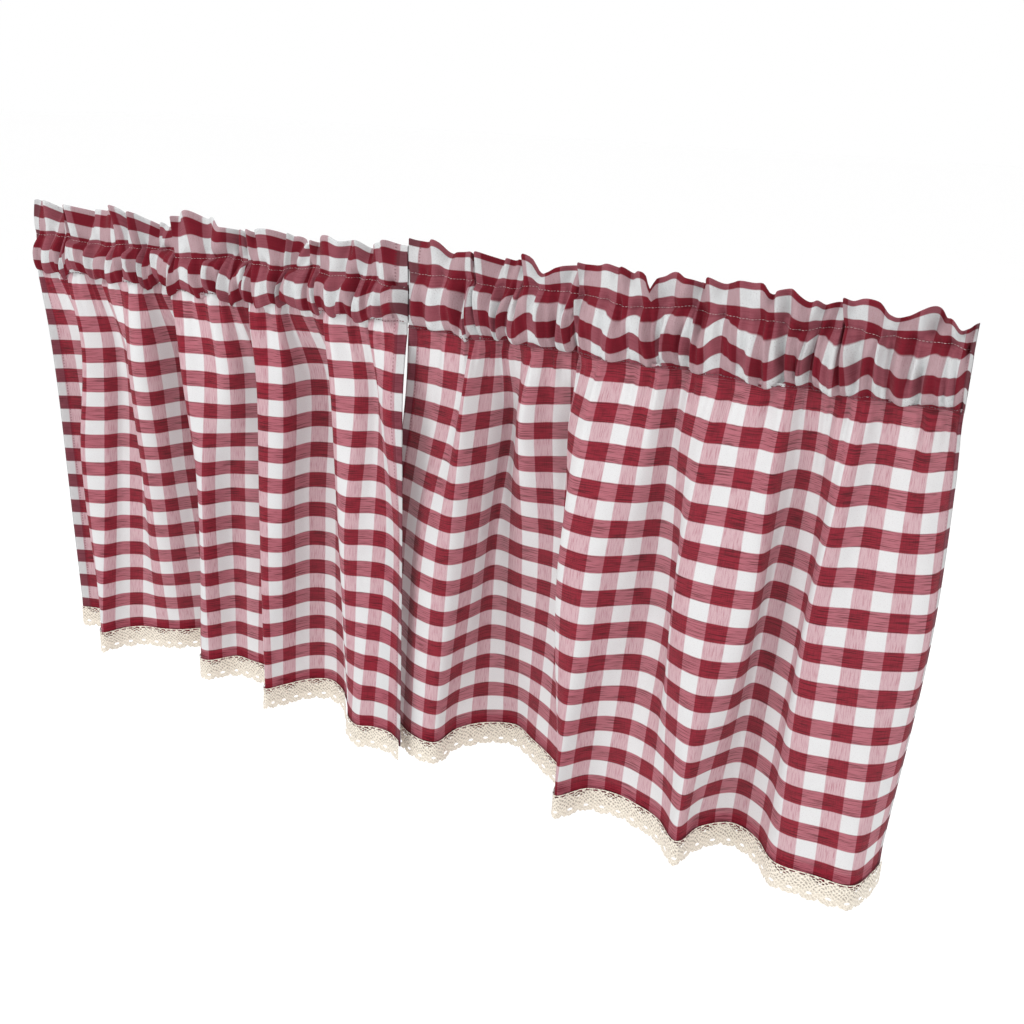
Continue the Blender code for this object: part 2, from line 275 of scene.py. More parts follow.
class Panel:
    """One cloth: its folds, its gathers and how it hangs on the rod."""

    def __init__(self, side, folds, gathers, tucks, hang):
        self.side = side
        self.tucks = tucks
        self.folds = np.array(folds, float)
        self.gathers = np.array(gathers, float)
        self.hang = hang
        self.span = hang["span"]
        self.stitch = -hang["stitch"]
        self.drop = hang["drop"] * CHECK_DOWN
        self.first_red = hang["first_red"]
        rows = (TOP_ROW, MID_ROW, HEM_ROW)
        self.levels = [STRAIGHT_END] + [(2 * row + self.first_red) * CHECK_DOWN for row in rows]

    def fold(self, column, checks):
        return smooth_through(self.folds[:, 0], self.folds[:, column], checks) * MM

    def from_ends(self, x):
        """How far a place lies inside the nearer end of the heading."""
        start, end = self.span
        return np.minimum(x - start, end - x)

    def on_rod(self, checks):
        """Place along the rod of a thread of the cloth."""
        start, end = self.span
        even = (checks - FIRST_CHECK) / CHECKS_WIDE
        first, last = self.fold(1, np.array([FIRST_CHECK, LAST_CHECK]))
        folded = (self.fold(1, checks) - first) / (last - first)
        return start + (end - start) * (EVEN_SHARE * even + (1 - EVEN_SHARE) * folded)

    def gather(self, column, x):
        """A measure that peaks at each bulge and is nil between them."""
        crests = self.gathers[:, 0]
        place = np.clip(np.atleast_1d(x) / MM, crests[0], crests[-1])
        low = np.clip(np.searchsorted(crests, place, side="right") - 1, 0, len(crests) - 2)
        t = (place - crests[low]) / (crests[low + 1] - crests[low])
        values = self.gathers[:, column]
        near = np.where(t < 0.5, values[low], values[low + 1])
        return near * (0.5 + 0.5 * np.cos(math.tau * t)) * MM

    def ruffle(self, column, x):
        return smooth_through(self.gathers[:, 0], self.gathers[:, column], x / MM) * MM

    def crown(self, x):
        """Height of the ruffle's edge over the rod."""
        edge = np.array(self.hang["edge"], float)
        return smooth_through(edge[:, 0], edge[:, 1], x / MM) * MM

    def swing(self, checks):
        """How far a thread swings behind (+) or before (-) the rod, gently limited."""
        free = step(END_START, END_HELD, self.from_ends(self.on_rod(checks)))
        return free * SWING_LIMIT * np.tanh(self.fold(2, checks) / SWING_LIMIT)

    def tuck(self, x, share):
        """Forward push of the tucks, at a share of the heading's height."""
        total = 0.0 * (x + share)
        for place, lean, depth, half_width in self.tucks:
            u = (x / MM - place - lean * share) / half_width
            total = total + depth * MM * TUCK_PEAK * u * np.exp(-u * u)
        return total

    def stagger(self, x):
        """The pocket's rows sink from each tuck to the next and start again higher."""
        places = [row[0] for row in self.tucks]
        between = np.interp(x / MM, places, range(len(places)))
        jumps = sum(step(place - half, place + half, x / MM) for place, _, _, half in self.tucks)
        return self.hang["stagger"] * (jumps - between - 0.5)

    def seam(self, checks):
        """How far behind the rod the lower stitch holds a thread."""
        return SEAM_SWING * self.swing(checks) - SEAM_PULL * self.gather(1, self.on_rod(checks))


LEFT = Panel("left", LEFT_FOLDS, LEFT_GATHERS, LEFT_TUCKS, LEFT_HANG)
RIGHT = Panel("right", RIGHT_FOLDS, RIGHT_GATHERS, RIGHT_TUCKS, RIGHT_HANG)
print("skirt drops:", round(LEFT.drop, 4), round(RIGHT.drop, 4), "m")

# %% [markdown]
# Just below the stitch the cloth is still pinched into many small folds. They open
# within a hand's width into the big soft folds of the tables. A wave across the cloth
# that fades with depth does this, and a few slanting waves give the drag lines that
# run from the gathers to the hem.

# %% Small folds of the skirt
PINCH_HEIGHT = 0.0026
PINCH_FADE = 0.030
PINCH_AT_SEAM = 0.15     # share of a pinch that the stitch itself shows
FREE_BELOW = 0.012       # depth at which the cloth is free of the stitch
OPENING_DEPTH = 0.04     # where the opening folds are highest
OPENING_HEIGHT = 0.0035
OPENING_FADE = 0.11
DRAG_HEIGHT = 0.0011
DRAG_RANGE = (0.02, 0.10)
# rows of these tables: height, turns a check across, turns a check down, phase
PINCHES = ((1.0, 0.83, 0.0, 0.4), (0.6, 1.27, 0.0, 2.1), (0.5, 0.61, 0.0, 4.4),
           (0.35, 1.9, 0.0, 1.2))
OPENING = ((1.0, 0.31, 0.004, 0.9), (0.7, 0.47, -0.006, 3.3), (0.5, 0.22, 0.01, 5.2))
DRAGS = ((0.55, 0.11, 0.035, 0.7), (0.45, -0.16, 0.05, 2.6), (0.35, 0.23, 0.07, 4.9),
         (0.25, 0.35, -0.03, 1.5))


def skirt_points(panel, checks, depth):
    """Places of the skirt for threads across and depths below the stitch."""
    inside = np.clip(depth, STRAIGHT_END, panel.drop - STRAIGHT_END)
    x_rod = panel.on_rod(checks)
    xs = [x_rod] + [panel.fold(column, checks) for column in (1, 3, 5)]
    ys = [panel.seam(checks)] + [panel.fold(column, checks) for column in (2, 4, 6)]
    x = smooth_through(panel.levels, np.array(xs), inside)
    y = smooth_through(panel.levels, np.array(ys), inside)
    c = checks[None, :]
    d = inside[:, None]
    rows = d / CHECK_DOWN
    start = step(0.0, FREE_BELOW, depth)[:, None]
    pinch = PINCH_HEIGHT * np.exp(-d / PINCH_FADE) * waves(PINCHES, c, rows)
    swell = (d / OPENING_DEPTH) * np.exp(1 - d / OPENING_DEPTH)
    opening = OPENING_HEIGHT * swell * waves(OPENING, c, rows)
    opening = opening * np.exp(-d / OPENING_FADE)
    drags = DRAG_HEIGHT * step(*DRAG_RANGE, d) * waves(DRAGS, c, rows)
    y = y + (PINCH_AT_SEAM + (1 - PINCH_AT_SEAM) * start) * pinch + start * (opening + drags)
    z = np.broadcast_to(panel.stitch - depth[:, None], x.shape)
    return np.stack([x, y, z], -1)


# %% Sheets from grids of points
def placed(name, data):
    """A new object in the scene that shows the data."""
    made = bpy.data.objects.new(name, data)
    bpy.context.scene.collection.objects.link(made)
    return made


def facing(points):
    """Level direction that points out of the front of a sheet, at each point."""
    along = np.gradient(points, axis=1)
    out = np.stack([along[..., 1], -along[..., 0], np.zeros(along.shape[:2])], -1)
    return out / np.maximum(np.linalg.norm(out, axis=-1, keepdims=True), 1e-9)


def sheet_object(name, points, chart, keep=None):
    """A mesh of squares through a grid of points, with the cloth's own measures as UV."""
    rows, columns = points.shape[:2]
    index = np.arange(rows * columns).reshape(rows, columns)
    corners = (index[:-1, :-1], index[1:, :-1], index[1:, 1:], index[:-1, 1:])
    squares = np.stack(corners, -1).reshape(-1, 4)
    if keep is not None:
        squares = squares[keep.ravel()]
    used, renamed = np.unique(squares, return_inverse=True)
    squares = renamed.reshape(-1, 4)
    mesh = bpy.data.meshes.new(name)
    mesh.from_pydata(points.reshape(-1, 3)[used].tolist(), [], squares.tolist())
    chart_layer = mesh.uv_layers.new(name="Cloth")
    chart_layer.data.foreach_set("uv", chart.reshape(-1, 2)[used][squares.ravel()].ravel())
    mesh.shade_smooth()
    made = placed(name, mesh)
    print(name, "squares:", len(squares))
    return made


# %% [markdown]
# A skirt is one single cloth. Its side edges and its lower edge are turned back and
# sewn, so the sheet goes round each edge and a little way up behind itself. Where the
# cloth is turned back its checks run on, as they do on real cloth. At its top the
# skirt reaches a little way up into the heading, so no light comes through the seam.

# %% Skirts
FRONT_COLUMNS = 9 * CHECKS_WIDE + 1
SKIRT_ROWS = 104
SIDE_TURN = 0.75         # width of the side hems, in checks
HEM_TURN = 0.95          # height of the lower hem, in checks
TURN_BEHIND = 0.0008     # distance between the turned layer and the front
HEM_BEHIND = 1.3         # the hem's layer lies this much further behind than a side hem's
TURN_COLUMNS = 7
HEM_ROWS = 6
SEAM_TAKE = 0.004        # the skirt reaches up between the two layers of the heading
LACE_OVER = 0.009        # how far the lace covers the cloth
LAST_RED = 24.97         # the cloth ends in a red row, which shows through the lace


def skirt(panel):
    front = np.linspace(FIRST_CHECK, LAST_CHECK, FRONT_COLUMNS)
    turned = np.linspace(0.0, SIDE_TURN, TURN_COLUMNS + 1)[1:]
    place = np.concatenate([FIRST_CHECK + turned[::-1], front, LAST_CHECK - turned])
    chart_across = np.concatenate([FIRST_CHECK - turned[::-1], front, LAST_CHECK + turned])
    behind_side = np.concatenate([np.ones(TURN_COLUMNS), np.zeros(len(front)), np.ones(TURN_COLUMNS)])
    down = np.linspace(-SEAM_TAKE, panel.drop, SKIRT_ROWS)
    back_up = np.linspace(0.0, HEM_TURN * CHECK_DOWN, HEM_ROWS + 1)[1:]
    depth = np.concatenate([down, panel.drop - back_up])
    below = np.concatenate([down, panel.drop + back_up]) / CHECK_DOWN - panel.first_red
    covered = LACE_OVER / CHECK_DOWN
    seen = panel.drop / CHECK_DOWN - panel.first_red - covered
    chart_down = np.where(below > seen, seen + (below - seen) * (LAST_RED - seen) / covered, below)
    behind_hem = np.concatenate([np.zeros(len(down)), np.ones(HEM_ROWS)])
    first = skirt_points(panel, front, depth)
    out = facing(first)
    share = (place - front[0]) / (front[1] - front[0])
    near = np.clip(np.floor(share).astype(int), 0, len(front) - 2)
    part = (share - near)[None, :, None]
    points = first[:, near] * (1 - part) + first[:, near + 1] * part
    out = out[:, near] * (1 - part) + out[:, near + 1] * part
    layers = behind_side[None, :] + HEM_BEHIND * behind_hem[:, None]
    points = points - TURN_BEHIND * layers[..., None] * out
    chart = np.stack(np.meshgrid(chart_across, chart_down), -1)
    made = sheet_object("skirt_" + panel.side, points, chart)
    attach(made, "root")
    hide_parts("panel_" + panel.side)
    return made, (CHECK_ACROSS * (CHECKS_WIDE + 2 * SIDE_TURN), panel.drop + HEM_TURN * CHECK_DOWN)


skirts = {}
for panel in (LEFT, RIGHT):
    skirts[panel.side] = skirt(panel)

# %% [markdown]
# The heading is the same cloth, folded over the top and sewn through twice. Between
# the two rows of stitches lies the rod pocket, and above the upper row the doubled
# cloth stands up as a ruffle. The sheet runs from the lower stitch up the front,
# round the rolled top and down the back. Rows of the section are joined by smooth
# curves, and the cloth is pinched where a row of stitches holds it. Between the rows
# it puffs out in round lobes with tight creases, it sags in each bulge, and at a tuck
# it leans over itself, so that one check hides a part of the next.

# %% Crinkles of the heading
FRONT_ROWS = 24
RUFFLE_ROWS = 16
ROLL_ROWS = 7
ROLL = 0.0016            # half the thickness of the rolled top
CRINKLES = ((1.0, 0.83, 0.10, 0.3), (0.8, 0.61, -0.15, 2.2), (0.6, 1.31, 0.08, 4.0),
            (0.4, 1.9, 0.2, 1.0))
FLUTES = ((1.0, 0.42, 0.0, 1.9), (0.7, 0.63, 0.0, 0.2), (0.4, 0.93, 0.0, 3.6))
SAGS = ((1.0, 0.19, 0.0, 1.4), (0.8, 0.29, 0.0, 4.1), (0.6, 0.47, 0.0, 0.6))
SLANTS = ((1.0, 0.13, 0.0, 0.7), (0.8, 0.21, 0.0, 2.9), (0.5, 0.37, 0.0, 5.0))
WANDERS = ((1.0, 0.09, 0.0, 0.3), (0.8, 0.17, 0.0, 2.6), (0.5, 0.33, 0.0, 4.2))
LOBES = ((1.0, 0.26, 0.030, 0.5), (0.8, 0.43, -0.050, 2.0), (0.5, 0.71, 0.060, 4.3))
POCKET_CREASE = 0.0042
POCKET_CRINKLE = 0.0022
STITCH_CRINKLE = 0.0022
RUFFLE_FLUTE = 0.0052
SLANT = 0.0042
STITCH_WANDER = 0.0020
POCKET_SAG = 0.0036
DROOP = 1.9              # how far the pocket's cloth sags in a bulge, of the table's droop
POCKET_VALLEY = 0.0085   # the pocket's cloth lies this far before the rod line in a pleat
POCKET_LOBE = 0.0065     # and this much further forward in a lobe
END_TAPER = 0.014        # length over which the pocket flattens to its open ends
UNDERSIDE = 0.42         # checks from the stitch to the pocket's lowest fold; there the chart is shifted as painted shade
SEEN_ASIDE = 0.56        # the edge table is read on the rod's upright plane, from the right
SEEN_LOWER = 0.40        # and from above: cloth before that plane seems further left and lower
LOBE_TURN = 0.014        # how far before or behind the rod a thread counts as lobe or pleat
BULGE_FRONT, BULGE_BACK = 0.45, 0.3    # share of a bulge that each side of the pocket shows
BACK_LOBE = 0.6          # height of a lobe on the back, of one on the front
FRONT_PLACES = (0, 0.2, 0.45, 0.8, 1)  # where the section's rows lie along the cloth
BACK_PLACES = (0, 0.2, 0.55, 0.8, 1)
RUFFLE_PLACES = (0, 0.5, 1)
ROLL_CHECKS = 0.1        # half the cloth that goes into the rolled top, in checks
SEAM_STEP = 0.0002       # between the lower stitch and the heading's foot


def slant_of(panel, checks, x):
    """How far the ruffle's edge leans along the rod, nil at the ends."""
    return SLANT * waves(SLANTS, checks, 0.0) * step(0.0, END_HELD, panel.from_ends(x))


def section(panel, checks):
    """Places and cloth heights of the heading, from the front stitch over to the back."""
    x = panel.on_rod(checks)
    swing = panel.swing(checks)
    lobe = 0.5 - 0.5 * np.tanh(panel.fold(2, checks) / LOBE_TURN)
    bulge = panel.gather(1, x)
    droop = DROOP * panel.gather(2, x)
    seam = panel.seam(checks)
    tip = 0.6 * swing + 0.5 * panel.ruffle(3, x) + RUFFLE_FLUTE * waves(FLUTES, checks, 0.0)
    seen_at = x + slant_of(panel, checks, x) + SEEN_ASIDE * tip
    crown = panel.crown(seen_at) - SEEN_LOWER * tip
    taper = step(-0.3, 1.0, panel.from_ends(x) / END_TAPER)
    front = (POCKET_VALLEY + POCKET_LOBE * lobe + BULGE_FRONT * bulge) * taper
    back = (POCKET_VALLEY + POCKET_LOBE * BACK_LOBE * (1 - lobe) + BULGE_BACK * bulge) * taper
    foot = panel.stitch + 0 * x
    upper = panel.hang["upper"] + STITCH_WANDER * waves(WANDERS, checks, 0.0)
    line = 0.3 * swing
    tall = upper - panel.stitch
    lip = panel.hang["lip"]
    # each row of the section: how far behind the rod line it lies, and how high
    fronts = [(seam - ROLL, foot + SEAM_STEP),
              (0.25 * seam - 0.70 * front, foot + lip - 0.5 * droop),
              (-front, foot + 0.6 * lip + 0.34 * tall - 0.5 * droop),
              (-0.80 * front + 0.2 * line, foot + 0.73 * tall - 0.25 * droop),
              (line - ROLL, upper)]
    backs = [(line + ROLL, upper),
             (0.9 * back, foot + 0.76 * tall),
             (back, foot + 0.42 * tall),
             (0.25 * seam + 0.75 * back, foot + 0.16 * tall),
             (seam + ROLL, foot + SEAM_STEP)]
    half_way = line + 0.42 * (tip - line) - 0.001
    middle = 0.5 * (upper + crown)
    lips = [(line - ROLL, upper), (half_way - ROLL, middle), (tip - ROLL, crown - ROLL)]
    rears = [(tip + ROLL, crown - ROLL), (half_way + ROLL, middle), (line + ROLL, upper)]
    rolls = [(tip - ROLL * math.cos(a), crown - ROLL + ROLL * math.sin(a))
             for a in np.linspace(0, math.pi, ROLL_ROWS + 2)[1:-1]]
    pocket = panel.hang["pocket"]
    ruffle = panel.hang["ruffle"]
    total = pocket + ruffle
    pieces = []
    for rows, places, count, low, high in (
            (fronts, FRONT_PLACES, FRONT_ROWS, 0.0, pocket),
            (lips, RUFFLE_PLACES, RUFFLE_ROWS, pocket, total - ROLL_CHECKS),
            (rolls, None, ROLL_ROWS, total - 0.9 * ROLL_CHECKS, total + 0.9 * ROLL_CHECKS),
            (rears, RUFFLE_PLACES, RUFFLE_ROWS, total + ROLL_CHECKS, total + ruffle),
            (backs, BACK_PLACES, FRONT_ROWS, total + ruffle, 2 * total)):
        stack = np.array(rows)
        at = np.linspace(0, 1, count)
        curve = stack if places is None else smooth_through(places, stack, at)
        pieces.append((curve, low + (high - low) * at))
    curve = np.concatenate([piece[0] for piece in pieces])
    up = np.concatenate([piece[1] for piece in pieces])
    return x, curve, up


IN_POCKET = 0.5          # checks from a stitch over which the pocket's puff sets in
NEAR_LOWER, NEAR_UPPER = 0.35, 0.45    # reach of the puckers at the two rows of stitches
PUFF_START = 1.0         # checks from the lower stitch to the full puff
FOOT_HELD = 0.05         # the heading's foot keeps to the seam for this much, in checks
TUCK_START = 0.6
TUCK_HELD = 0.6          # how much the upper stitch flattens a tuck
SHADE_SHIFT_START, SHADE_SHIFT_RISE = -0.3, 0.25   # start and rise of the shifted chart of the pocket's lowest fold, in checks; on the right panel it falls in the red row, as painted shade


def heading(panel):
    checks = np.linspace(FIRST_CHECK, LAST_CHECK, FRONT_COLUMNS)
    x, curve, up = section(panel, checks)
    y, z = curve[:, 0], curve[:, 1]
    pocket = panel.hang["pocket"]
    total = pocket + panel.hang["ruffle"]
    height = up[:, None]
    mirrored = np.where(height > total, 2 * total - height, height)
    in_pocket = step(0.0, IN_POCKET, mirrored) * step(0.0, IN_POCKET, pocket - mirrored)
    at_lower = np.exp(-(mirrored / NEAR_LOWER) ** 2)
    at_upper = np.exp(-((mirrored - pocket) / NEAR_UPPER) ** 2)
    crinkle = waves(CRINKLES, checks[None, :], height)
    crease = lobes(LOBES, checks[None, :], height)
    ends = step(0.0, END_TAPER, panel.from_ends(x))
    puff = ends * in_pocket * step(0.0, PUFF_START, mirrored)
    puff = puff * (POCKET_CRINKLE * crinkle + POCKET_CREASE * crease)
    pucker = STITCH_CRINKLE * (at_lower + at_upper) * waves(CRINKLES, checks[None, :], mirrored)
    pucker = pucker * (1 - 0.9 * np.exp(-(mirrored / FOOT_HELD) ** 2))
    side = np.where(height > total, 1.0, -1.0)
    y = y + side * puff - pucker
    z = z + POCKET_SAG * in_pocket * waves(SAGS, checks[None, :], 0.0)
    z = z + (height < pocket) * in_pocket * panel.stagger(x)[None, :]
    slant = slant_of(panel, checks, x) * step(0.0, total, mirrored)
    above_back = 2 * total - pocket - height
    tucked = step(0.0, TUCK_START, height) * step(0.0, TUCK_START, above_back)
    tucked = tucked * (1 - TUCK_HELD * np.exp(-((mirrored - pocket) / 0.4) ** 2))
    y = y - tucked * panel.tuck(x[None, :], mirrored / total)
    points = np.stack([x + slant, y, z], -1)[::-1]
    # Painted shade: the pocket's lowest fold takes a shifted chart, so on the right panel it shows the
    # red row where the pale row lies.
    shade_shifted_up = np.where(up < UNDERSIDE, SHADE_SHIFT_START + SHADE_SHIFT_RISE * up / UNDERSIDE, up)
    chart_down = (-shade_shifted_up - panel.first_red)[::-1]
    chart = np.stack(np.meshgrid(checks, chart_down), -1)
    made = sheet_object("heading_cloth_" + panel.side, points, chart)
    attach(made, "root")
    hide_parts("heading_" + panel.side)
    return made, (CHECK_ACROSS * CHECKS_WIDE, 2 * total * CHECK_DOWN)


headings = {}
for panel in (LEFT, RIGHT):
    headings[panel.side] = heading(panel)

# %% [markdown]
# The trim is a narrow cotton lace. It has a straight upper edge with a row of short
# slots, a close middle and a row of little fans, each round an oval eyelet. The slots
# and the eyelets are cut in the mesh, so light passes and the cloth shows through. The
# rows of the mesh bend round the eyelet, which keeps its rim smooth with few faces.
# The far smaller gaps of the net are left to the finish.

# %% Lace
FAN_COLUMNS = 32
FANS = 44
LACE_FRONT = 0.0019      # from the middle of the cloth to the lace
EYELET_HALF = 0.29       # half width of an eyelet, in halves of a fan
EYELET_MIDDLE = 12.3     # mm below the hem
EYELET_HIGH = 1.5        # half its height, mm
LACE_BAND = (-9, -8.3, -7.6, -6.8, -6.0, -5.1, -4.2, -3.3, -2.4,    # rows, mm below the hem
             -1.5, -0.6, 0.4, 1.6, 2.8, 4.0, 5.4, 6.8, 8.2)
FAN_ROWS = (0.22, 0.45, 0.7, 0.88, 1.0)    # rows between an eyelet and the fan's edge
FAN_DEEP = 20.6          # mm below the hem at a fan's middle
FAN_NOTCH = 3.0          # how much higher the lace ends between two fans
TOOTH = 1.2              # and between two teeth of a fan
TEETH_A_FAN = 3
RAYS_A_FAN = 8
SLOT_TOP, SLOT_BOTTOM = 2, 4     # rows of the band between which the slots lie
SLOTS_A_FAN = 2
SLOT_COLUMNS = 9
SLOT_SHIFT = 3           # columns from a fan's start back to a slot's
LACE_HEIGHT = 0.0295
RING_HIGH, BRAID_HIGH, RAY_HIGH, EDGE_HIGH = 0.00045, 0.0003, 0.00035, 0.0003
FLUTTER = 0.0006         # how far the lower edge waves
FLUTTER_BELOW = 0.018
CHART_UNIT = 0.020       # one unit of the lace's chart


def lace_relief(depth, s, fan):
    """How far the threads of the lace stand out, in metres."""
    rim = np.sqrt((s / (EYELET_HALF + 0.12)) ** 2 + ((depth - EYELET_MIDDLE) / (EYELET_HIGH + 0.9)) ** 2)
    ring = np.exp(-((rim - 1) / 0.22) ** 2)
    braid = np.exp(-((depth - 3.4) / 1.6) ** 2) * (0.6 + 0.4 * np.sin(math.tau * 5 * fan))
    rays = step(14.0, 15.5, depth) * (0.5 + 0.5 * np.cos(math.tau * RAYS_A_FAN * fan + math.pi))
    edge = np.exp(-((depth + 8.6) / 0.7) ** 2)
    return RING_HIGH * ring + BRAID_HIGH * braid + RAY_HIGH * rays + EDGE_HIGH * edge


def lace(panel):
    count = FANS * FAN_COLUMNS
    share = np.linspace(0, 1, count + 1)
    checks = FIRST_CHECK + CHECKS_WIDE * share
    fan = share * FANS
    s = 2 * (fan - np.floor(fan)) - 1
    s[-1] = 1.0
    open_half = EYELET_HIGH * np.sqrt(np.clip(1 - (s / EYELET_HALF) ** 2, 0.02, 1))
    tooth = 0.5 - 0.5 * np.cos(math.pi * TEETH_A_FAN * s)
    uneven = 0.45 * np.sin(2.3 * fan) + 0.35 * np.sin(5.1 * fan + 1)
    bottom = FAN_DEEP - FAN_NOTCH * np.abs(s) ** 2.4 - TOOTH * tooth + uneven
    rim_top = EYELET_MIDDLE - open_half
    rim_bottom = EYELET_MIDDLE + open_half
    rows = [0 * s + depth for depth in LACE_BAND]
    rows += [rim_top + (LACE_BAND[-1] - rim_top) * t for t in (0.5, 0.0)]
    eyelet_row = len(rows) - 1
    rows += [rim_bottom]
    rows += [rim_bottom + (bottom - rim_bottom) * t for t in FAN_ROWS]
    depth = np.array(rows) * MM
    hem = skirt_points(panel, checks, np.array([panel.drop - LACE_OVER, panel.drop]))
    out = facing(hem[-1:])[0]
    x_hem, y_hem = hem[-1, :, 0], hem[-1, :, 1]
    relief = lace_relief(depth / MM, s[None, :], fan[None, :])
    flutter = FLUTTER * np.clip(depth / FLUTTER_BELOW, 0, 1) * np.sin(math.pi * fan)
    reach = LACE_FRONT + relief + flutter
    points = np.stack([x_hem + reach * out[:, 0], y_hem + reach * out[:, 1],
                       panel.stitch - panel.drop - depth], -1)
    chart = np.stack([np.broadcast_to(fan, depth.shape), depth / CHART_UNIT], -1)
    keep = np.ones((len(rows) - 1, count), bool)
    middle = 0.5 * (s[1:] + s[:-1])
    middle = np.where(np.abs(s[1:] - s[:-1]) > 1, 1.0, middle)
    keep[eyelet_row, np.abs(middle) < EYELET_HALF] = False
    column = np.arange(count)
    slot = (column + SLOT_SHIFT) % (FAN_COLUMNS // SLOTS_A_FAN)
    keep[SLOT_TOP:SLOT_BOTTOM, slot < SLOT_COLUMNS] = False
    made = sheet_object("lace_trim_" + panel.side, points, chart, keep)
    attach(made, "root")
    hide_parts("lace_" + panel.side)
    return made, (CHECK_ACROSS * CHECKS_WIDE, LACE_HEIGHT)


laces = {}
for panel in (LEFT, RIGHT):
    laces[panel.side] = lace(panel)

# %% [markdown]
# A finish is a small net of shader nodes. To keep it readable, a socket is wrapped so
# that plain sums, such as 1 - mask, add the maths nodes. All other nodes come from one
# method that takes the node's type, its settings and what goes into its sockets.


# %% Shader values and finishes
class Value:
    """One shader value; sums on it add Math nodes."""

    def __init__(self, finish, socket):
        self.finish = finish
        self.socket = socket

    def join(self, operation, first, second):
        node = self.finish.node("ShaderNodeMath", {"operation": operation}, {0: first, 1: second})
        return Value(self.finish, node.outputs[0])

    def __add__(self, other):
        return self.join("ADD", self, other)

    def __radd__(self, other):
        return self.join("ADD", other, self)

    def __sub__(self, other):
        return self.join("SUBTRACT", self, other)

    def __rsub__(self, other):
        return self.join("SUBTRACT", other, self)

    def __mul__(self, other):
        return self.join("MULTIPLY", self, other)

    def __rmul__(self, other):
        return self.join("MULTIPLY", other, self)


class Finish:
    """A material under construction."""

    def __init__(self, name):
        self.material = bpy.data.materials.new(name)
        self.material.use_nodes = True
        self.tree = self.material.node_tree
        self.tree.nodes.clear()

    def node(self, kind, settings=None, inputs=None):
        made = self.tree.nodes.new(kind)
        for key, value in (settings or {}).items():
            setattr(made, key, value)
        for key, value in (inputs or {}).items():
            if isinstance(value, Value):
                self.tree.links.new(value.socket, made.inputs[key])
            else:
                made.inputs[key].default_value = value
        return made

    def value(self, kind, settings=None, inputs=None, output=0):
        return Value(self, self.node(kind, settings, inputs).outputs[output])

    def sine(self, value):
        return self.value("ShaderNodeMath", {"operation": "SINE"}, {0: value})

    def size(self, value):
        return self.value("ShaderNodeMath", {"operation": "ABSOLUTE"}, {0: value})

    def lattice(self, across, down):
        """Peaks of 2 on staggered places, one unit apart in each direction."""
        quarter = math.pi / 2
        return self.size(self.sine(across * math.tau + quarter) + self.sine(down * math.tau + quarter))

    def between(self, value, low, high, start=0.0, end=1.0):
        settings = {"interpolation_type": "SMOOTHSTEP"}
        inputs = {"Value": value, "From Min": low, "From Max": high, "To Min": start, "To Max": end}
        return self.value("ShaderNodeMapRange", settings, inputs)

    def noise(self, across, down, detail=2.0):
        place = self.value("ShaderNodeCombineXYZ", None, {0: across, 1: down})
        return self.value("ShaderNodeTexNoise", None, {"Vector": place, "Scale": 1.0, "Detail": detail})

    def own_noise(self, scale):
        """Noise on the object's own places, for pieces without a chart."""
        place = self.value("ShaderNodeTexCoord", output="Object")
        return self.value("ShaderNodeTexNoise", None, {"Vector": place, "Scale": scale})

    def mix(self, factor, first, second):
        settings = {"data_type": "RGBA", "clamp_factor": True}
        return self.value("ShaderNodeMix", settings, {0: factor, 6: first, 7: second}, 2)

    def chart(self):
        place = self.value("ShaderNodeUVMap", {"uv_map": "Cloth"})
        parts = self.node("ShaderNodeSeparateXYZ", None, {0: place})
        return Value(self, parts.outputs[0]), Value(self, parts.outputs[1])

    def finish(self, shader):
        self.node("ShaderNodeOutputMaterial", None, {"Surface": shader})
        return self.material


# %% [markdown]
# Gingham is woven from red and white yarn in both directions. Where red crosses red
# the square is deep crimson, and where red crosses white the eye mixes them. In this
# cloth the red weft covers more than the red warp, so the two half-tones differ. The
# yarn is uneven, and its thick places show as short streaks: level ones in the red
# weft, upright ones in the red warp. The cloth's own measures carry the pattern, so
# it follows every fold.

# %% Gingham
THREADS = 22             # threads a check
LEVEL_STREAKS = (0.75, 21.0)           # streaks a check, across and down
UPRIGHT_STREAKS = (22.0, 1.3)
LEVEL_THICK = (0.48, 0.62)             # noise from which the yarn counts as thick
UPRIGHT_THICK = (0.46, 0.70)
YARN_WANDER = 0.05                     # how far a check's edge strays, in checks
WANDER_SCALE = 0.9
SPECKLE_SCALE = 15.0
PATCH_SCALE = 0.5
LEAST_CLEAR = 0.02                     # light that comes through where red crosses red
HEM_MIDDLE = FIRST_CHECK + CHECKS_WIDE / 2
HEM_REACH = CHECKS_WIDE / 2 - 0.6    # the side hems start this far from the middle


